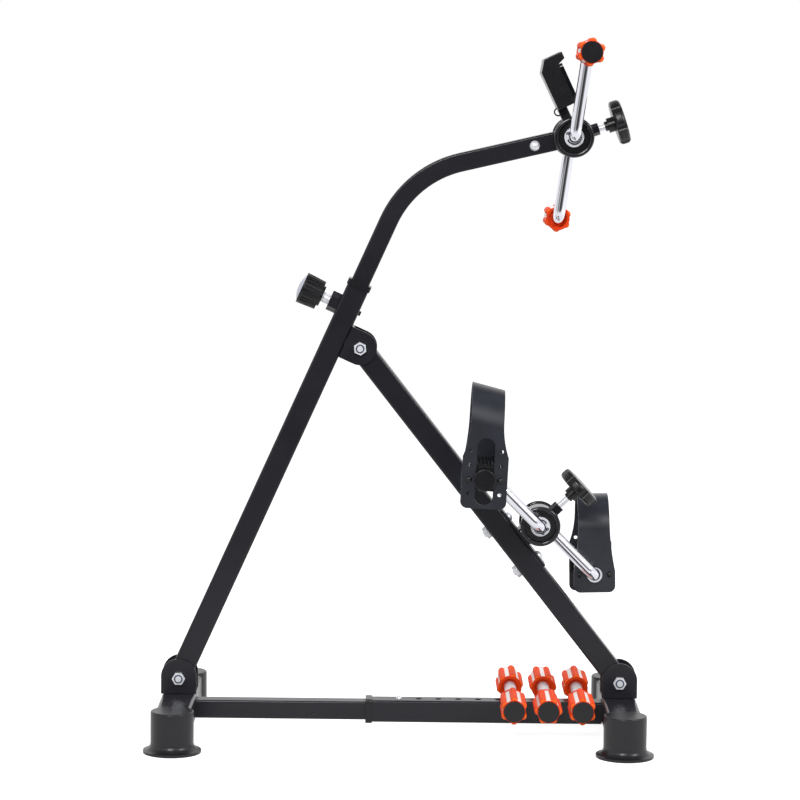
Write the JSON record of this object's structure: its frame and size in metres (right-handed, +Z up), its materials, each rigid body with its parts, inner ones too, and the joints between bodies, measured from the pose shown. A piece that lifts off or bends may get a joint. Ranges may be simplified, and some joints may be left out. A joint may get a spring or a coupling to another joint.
{
  "type": "pedal exerciser",
  "caption": "Free-standing arm and leg pedal exerciser: folding A-frame, foot crank with strapped pedals, hand crank on a height-adjustable mast, and massage rollers on the base.",
  "frame": {"origin": "on the floor, midway between the two crossbars with the base at its longest", "axes": "+X towards the user's side, +Y to the far side, +Z up"},
  "size_m": [0.675, 0.341, 0.9426],
  "materials": {
    "black_steel": "satin powder coat",
    "black_plastic": "moulded, fine grain",
    "foot_rubber": "matte",
    "strap_rubber": "satin",
    "zinc": "bright zinc",
    "chrome": "polished",
    "roller_orange": "knurled ribs on a white core",
    "cap_grey": "satin",
    "lens": "gloss",
    "button_orange": "satin"
  },
  "bodies": {
    "rear_base": {"rear_crossbar": "black_steel", "rear_feet": "foot_rubber", "base_outer_tube": "black_steel", "base_tube_bush": "black_plastic", "rear_hinge_bracket": "black_steel", "rear_hinge_bolt": "zinc", "roller_rods": "chrome", "roller_end_caps": "black_plastic"},
    "front_base": {"front_crossbar": "black_steel", "front_feet": "foot_rubber", "base_inner_tube": "black_steel", "front_hinge_bracket": "black_steel", "front_hinge_bolt": "zinc", "snap_spring": "zinc"},
    "snap_button": {"snap_button": "zinc"},
    "front_leg": {"front_leg": "black_steel", "apex_bracket": "black_steel", "apex_bolt": "zinc", "mast_bush": "black_plastic"},
    "clamp_pad": {"clamp_pad": "black_plastic"},
    "clamp_knob": {"clamp_screw": "zinc", "clamp_knob": "black_plastic", "clamp_knob_cap": "cap_grey"},
    "rear_leg": {"rear_leg": "black_steel", "foot_saddle": "black_steel", "saddle_bolts": "zinc", "foot_drum": "black_steel", "foot_drum_bushes": "black_plastic"},
    "foot_pad": {"foot_brake_pad": "black_plastic"},
    "foot_tension": {"foot_tension_screw": "zinc", "foot_tension_knob": "black_plastic"},
    "foot_crank": {"foot_crank": "chrome"},
    "near_pedal": {"near_pedal": "black_plastic", "near_strap": "strap_rubber", "near_strap_screws": "black_plastic"},
    "far_pedal": {"far_pedal": "black_plastic", "far_strap": "strap_rubber", "far_strap_screws": "black_plastic"},
    "mast": {"mast": "black_steel", "hand_drum": "black_steel", "hand_drum_bolt": "zinc", "hand_drum_bushes": "black_plastic", "counter_case": "black_plastic", "counter_lens": "lens", "sensor_lead": "black_plastic"},
    "counter_button": {"counter_button": "button_orange"},
    "hand_pad": {"hand_brake_pad": "black_plastic"},
    "hand_tension": {"hand_tension_screw": "zinc", "hand_tension_knob": "black_plastic"},
    "hand_crank": {"hand_crank": "chrome", "grip_end_caps": "black_plastic"},
    "near_grip": {"near_grip": "roller_orange"},
    "far_grip": {"far_grip": "roller_orange"},
    "roller_1_near": {"roller_1_near": "roller_orange"},
    "roller_1_far": {"roller_1_far": "roller_orange"},
    "roller_2_near": {"roller_2_near": "roller_orange"},
    "roller_2_far": {"roller_2_far": "roller_orange"},
    "roller_3_near": {"roller_3_near": "roller_orange"},
    "roller_3_far": {"roller_3_far": "roller_orange"}
  },
  "joints": [
    {"name": "base_slide", "type": "slide", "parent": "rear_base", "child": "front_base", "axis": [1, 0, 0], "range_m": [0, 0.135], "deforming": ["snap_button"]},
    {"name": "front_leg_fold", "type": "hinge", "parent": "front_base", "child": "front_leg", "pos_m": [-0.299, 0, 0.0755], "axis": [0, 1, 0], "range_deg": [-10.24, 0]},
    {"name": "rear_leg_fold", "type": "hinge", "parent": "rear_base", "child": "rear_leg", "pos_m": [0.299, 0, 0.0755], "axis": [0, 1, 0], "range_deg": [0, 6.39]},
    {"name": "snap_press", "type": "slide", "parent": "front_base", "child": "snap_button", "axis": [0, 0, -1], "range_m": [0, 0.006], "stiffness_N_per_m": 1500, "deforming": ["snap_spring"]},
    {"name": "mast_height", "type": "slide", "parent": "front_leg", "child": "mast", "axis": [0.4084, 0, 0.9128], "range_m": [-0.06, 0.12]},
    {"name": "clamp_press", "type": "slide", "parent": "front_leg", "child": "clamp_pad", "axis": [-0.9128, 0, 0.4084], "range_m": [0, 0.00401]},
    {"name": "clamp_turn", "type": "hinge", "parent": "clamp_pad", "child": "clamp_knob", "pos_m": [-0.07357, 0, 0.57937], "axis": [-0.9128, 0, 0.4084], "range_deg": [0, 720]},
    {"name": "foot_brake_press", "type": "slide", "parent": "rear_leg", "child": "foot_pad", "axis": [0.7283, 0, 0.6852], "range_m": [0, 0.00376]},
    {"name": "foot_resistance", "type": "hinge", "parent": "foot_pad", "child": "foot_tension", "pos_m": [0.18791, 0, 0.29022], "axis": [0.7283, 0, 0.6852], "range_deg": [0, 1080]},
    {"name": "hand_brake_press", "type": "slide", "parent": "mast", "child": "hand_pad", "axis": [0.9494, 0, 0.3139], "range_m": [0, 0.00376]},
    {"name": "hand_resistance", "type": "hinge", "parent": "hand_pad", "child": "hand_tension", "pos_m": [0.22433, 0, 0.81222], "axis": [0.9494, 0, 0.3139], "range_deg": [0, 1080]},
    {"name": "foot_crank_turn", "type": "hinge", "parent": "rear_leg", "child": "foot_crank", "pos_m": [0.18791, 0, 0.29022], "axis": [0, 1, 0], "continuous": true},
    {"name": "near_pedal_turn", "type": "hinge", "parent": "foot_crank", "child": "near_pedal", "pos_m": [0.108, 0, 0.37012], "axis": [0, 1, 0], "continuous": true},
    {"name": "far_pedal_turn", "type": "hinge", "parent": "foot_crank", "child": "far_pedal", "pos_m": [0.26781, 0, 0.21032], "axis": [0, 1, 0], "continuous": true},
    {"name": "hand_crank_turn", "type": "hinge", "parent": "mast", "child": "hand_crank", "pos_m": [0.22433, 0, 0.81222], "axis": [0, 1, 0], "continuous": true},
    {"name": "near_grip_turn", "type": "hinge", "parent": "hand_crank", "child": "near_grip", "pos_m": [0.23966, 0, 0.92417], "axis": [0, 1, 0], "continuous": true},
    {"name": "far_grip_turn", "type": "hinge", "parent": "hand_crank", "child": "far_grip", "pos_m": [0.20899, 0, 0.70026], "axis": [0, 1, 0], "continuous": true},
    {"name": "counter_press", "type": "slide", "parent": "mast", "child": "counter_button", "axis": [-0.9018, 0, -0.4321], "range_m": [0, 0.0012], "stiffness_N_per_m": 800},
    {"name": "roller_1_near_turn", "type": "hinge", "parent": "rear_base", "child": "roller_1_near", "pos_m": [0.153, 0, 0.05505], "axis": [0, 1, 0], "continuous": true},
    {"name": "roller_1_far_turn", "type": "hinge", "parent": "rear_base", "child": "roller_1_far", "pos_m": [0.153, 0, 0.05505], "axis": [0, 1, 0], "continuous": true},
    {"name": "roller_2_near_turn", "type": "hinge", "parent": "rear_base", "child": "roller_2_near", "pos_m": [0.1985, 0, 0.05505], "axis": [0, 1, 0], "continuous": true},
    {"name": "roller_2_far_turn", "type": "hinge", "parent": "rear_base", "child": "roller_2_far", "pos_m": [0.1985, 0, 0.05505], "axis": [0, 1, 0], "continuous": true},
    {"name": "roller_3_near_turn", "type": "hinge", "parent": "rear_base", "child": "roller_3_near", "pos_m": [0.244, 0, 0.05505], "axis": [0, 1, 0], "continuous": true},
    {"name": "roller_3_far_turn", "type": "hinge", "parent": "rear_base", "child": "roller_3_far", "pos_m": [0.244, 0, 0.05505], "axis": [0, 1, 0], "continuous": true}
  ],
  "couplings": [
    {"joint": "front_leg_fold", "follows": "base_slide", "rad_per_m": -1.318},
    {"joint": "rear_leg_fold", "follows": "base_slide", "rad_per_m": 0.82},
    {"joint": "clamp_press", "follows": "clamp_turn", "m_per_rad": 0.00031831},
    {"joint": "foot_brake_press", "follows": "foot_resistance", "m_per_rad": 0.00019894},
    {"joint": "hand_brake_press", "follows": "hand_resistance", "m_per_rad": 0.00019894}
  ]
}
